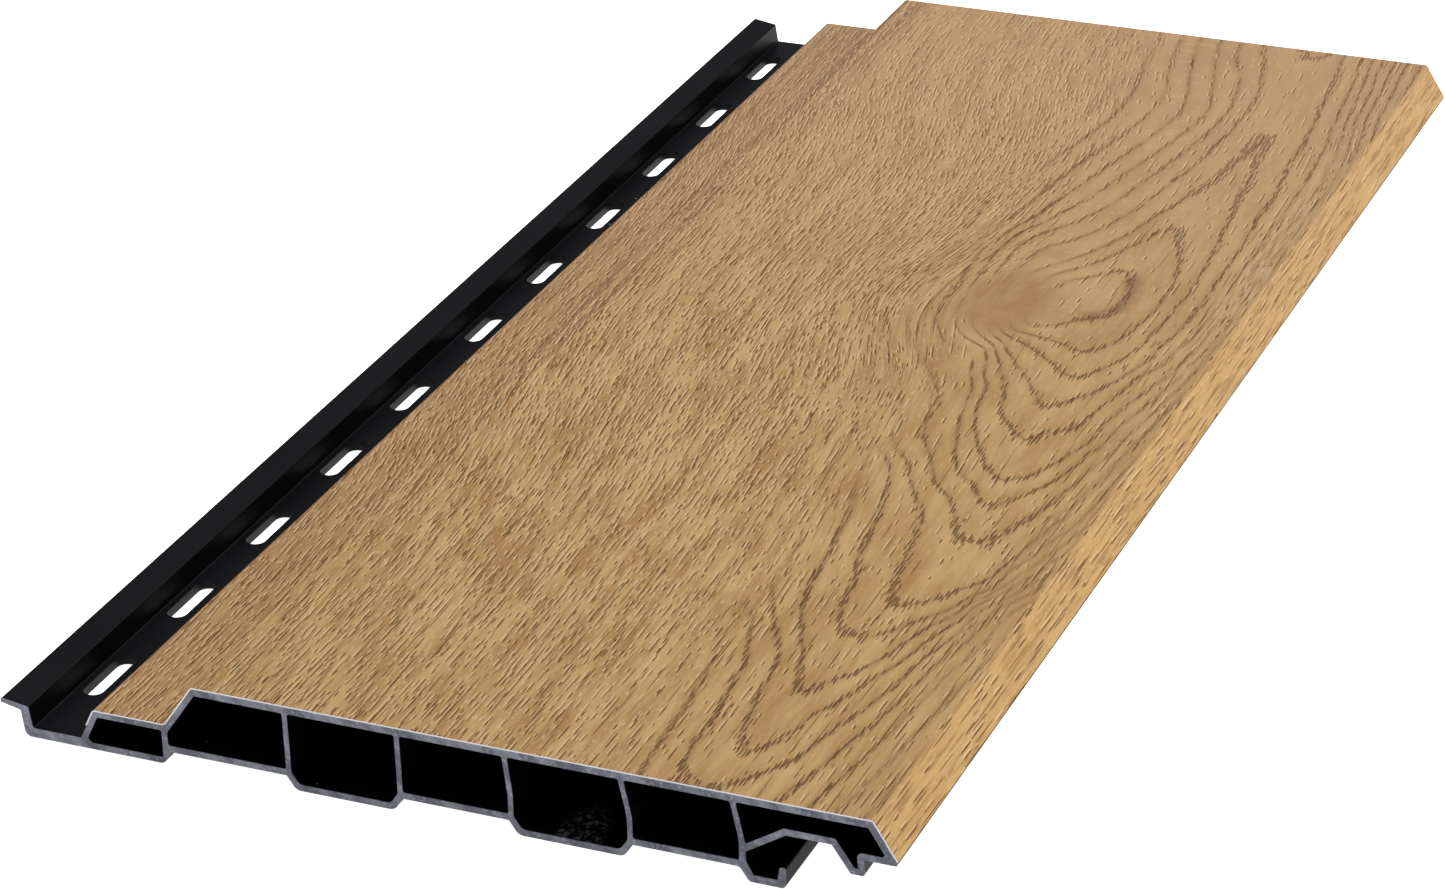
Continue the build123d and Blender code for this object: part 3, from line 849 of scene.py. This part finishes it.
def rings_and_pores(g, v, base, band, pore):
    """Haze, a row of pores and a thin line at each ring, the lines round the knot, and the other pores."""
    haze = g.mul(g.step(v.from_line, 1.3, 0.1), v.ring, g.less(v.fan))
    base = coat(g, g.mul(haze, 0.24), base, "haze")
    fade = g.mul(g.step(v.along, 140.0, 260.0, 1.0, 0.72), g.less(v.straight, 0.6))
    base = coat(g, g.mul(band, 0.9, fade), base, "band")
    # a thin dark line along each ring
    drawn = g.step(streaks(g, v.lane, v.along, 0.9, 0.25), 0.36, 0.56)
    line = g.mul(g.step(v.from_line, 0.40, 0.14), v.ring, drawn, g.add(0.46, g.mul(v.fan, 0.4)))
    base = coat(g, g.mul(line, fade), base, "ring")
    # long curved lines round the knot
    pencil = g.step(streaks(g, v.lane, v.along, 1.5, 0.022, 9.0, detail=1.5), 0.56, 0.64)
    base = coat(g, g.mul(pencil, v.swirl, 0.5), base, "pencil")
    return coat(g, g.mul(pore, g.step(v.along, 130.0, 270.0, 0.90, 0.66)), base, "pore")


def edges(g, v, base):
    """The foil's long edge beside the flange is brown, and its sawn ends are bare and pale."""
    brink = g.step(v.across, LEDGE_EDGE + 0.45, LEDGE_EDGE + 0.2)
    base = coat(g, g.mul(brink, 0.5), base, "edge")
    _, end, _ = g.split(g.normal())
    return coat(g, g.step(g.math("ABSOLUTE", end), 0.5, 0.6), base, "cut")


def oak_material():
    g = Graph("oak_decor")
    v = read_grain(g)
    band, band_highlight = ring_bands(g, v)
    pore, pore_highlight = scattered_pores(g, v)
    # painted highlight on the embossed rim beside each pore, kept off the pores themselves
    pore_rim_highlight = g.mul(g.most(pore_highlight, band_highlight), g.less(g.most(pore, band)))

    base = bevel_and_ledge(g, v, ground(g, v))
    base = marks(g, v, base, pore_rim_highlight)
    base = rings_and_pores(g, v, base, band, pore)
    g.set("Base Color", edges(g, v, base))
    g.set("Roughness", g.add(0.58, g.mul(pore, 0.15)))
    g.set("Specular IOR Level", 0.12)
    height = g.sub(g.add(g.mul(v.fibre, 0.3), g.mul(pore_rim_highlight, 0.2)), g.most(pore, band))
    g.bump(height, 0.05, 0.00010)
    return g.material


def near_spot(g, place, middle, reach):
    """1 near the middle, fading to 0 at the reach in each direction."""
    away = [g.square(g.div(g.sub(p, m), r)) for p, m, r in zip(g.split(place), middle, reach)]
    return g.step(g.add(*away), 1.0, 0.35)


def speck_at(g, x, y):
    """A few bright specks, one in some of the cells."""
    x, y = g.mul(x, SPECKS), g.mul(y, SPECKS)
    dot, colour = g.cells(g.join(x, y))
    dot_x, dot_y, _ = g.split(dot)
    away = g.math("SQRT", g.add(g.square(g.sub(x, dot_x)), g.square(g.sub(y, dot_y))))
    return g.mul(g.step(away, 0.011, 0.007), g.step(g.split(colour)[0], 0.60, 0.61))


def plastic_material():
    g = Graph("black_plastic")
    place = g.place()
    x, y, z = g.split(place)
    sawn = g.step(g.math("ABSOLUTE", y), -NEAR_END - 0.2 * MM, -NEAR_END - 0.1 * MM)

    # faint lines from the extruder's die
    drawn = g.noise(g.join(g.mul(x, 900.0), g.mul(y, 14.0), g.mul(z, 900.0)), detail=3.0)
    cloud = g.noise(place, scale=45.0, detail=3.0)
    body = g.mix(g.step(cloud, 0.3, 0.7), PLASTIC["dark"], PLASTIC["light"])
    body = g.mix(g.step(drawn, 0.62, 0.8, 0.0, 0.5), body, PLASTIC["drawn"])
    swarf = g.noise(place, scale=900.0, detail=3.0, roughness=0.7)
    heap = g.most(*[near_spot(g, place, middle, reach) for middle, reach in SWARF])
    body = g.mix(g.mul(heap, g.step(swarf, 0.46, 0.66), g.less(sawn), 0.8), body, PLASTIC["swarf"])
    body = g.mix(speck_at(g, x, y), body, PLASTIC["speck"])
    # painted shade: walls that face the nose's side lie in deep shade, so their colour is darkened
    aside, _, _ = g.split(g.normal())
    body = g.mix(g.step(aside, 0.6, 0.9, 0.0, 0.85), body, PLASTIC["aside"])

    # saw marks: slanting light and dark bands across the cut
    slant = g.add(x, g.mul(z, 0.9))
    mark = g.noise(g.join(g.mul(slant, 230.0), g.mul(z, 40.0)))
    grit = g.noise(place, scale=1400.0)
    cut = g.mix(g.step(mark, 0.36, 0.64), PLASTIC["cut dark"], PLASTIC["cut light"])
    cut = g.mix(g.step(grit, 0.50, 0.75, 0.0, 0.5), cut, PLASTIC["grit"])

    g.set("Base Color", g.mix(sawn, body, cut))
    g.set("Roughness", g.add(0.46, g.mul(sawn, 0.25)))
    g.set("Specular IOR Level", 0.08)
    g.bump(g.add(g.mul(drawn, g.less(sawn)), g.mul(g.add(mark, grit), sawn)), 0.25, 0.00005)
    return g.material


def paint(obj, material):
    """Gives an object one material. Frame objects keep their mesh and take it through their slots."""
    if obj.material_slots:
        for slot in obj.material_slots:
            slot.material = material
    else:
        obj.data.materials.append(material)


camera()
sky()
lamp()
pale_floor()
bpy.context.scene.view_settings.view_transform = "Standard"
paint(foil_piece(), oak_material())
paint(PANEL, plastic_material())
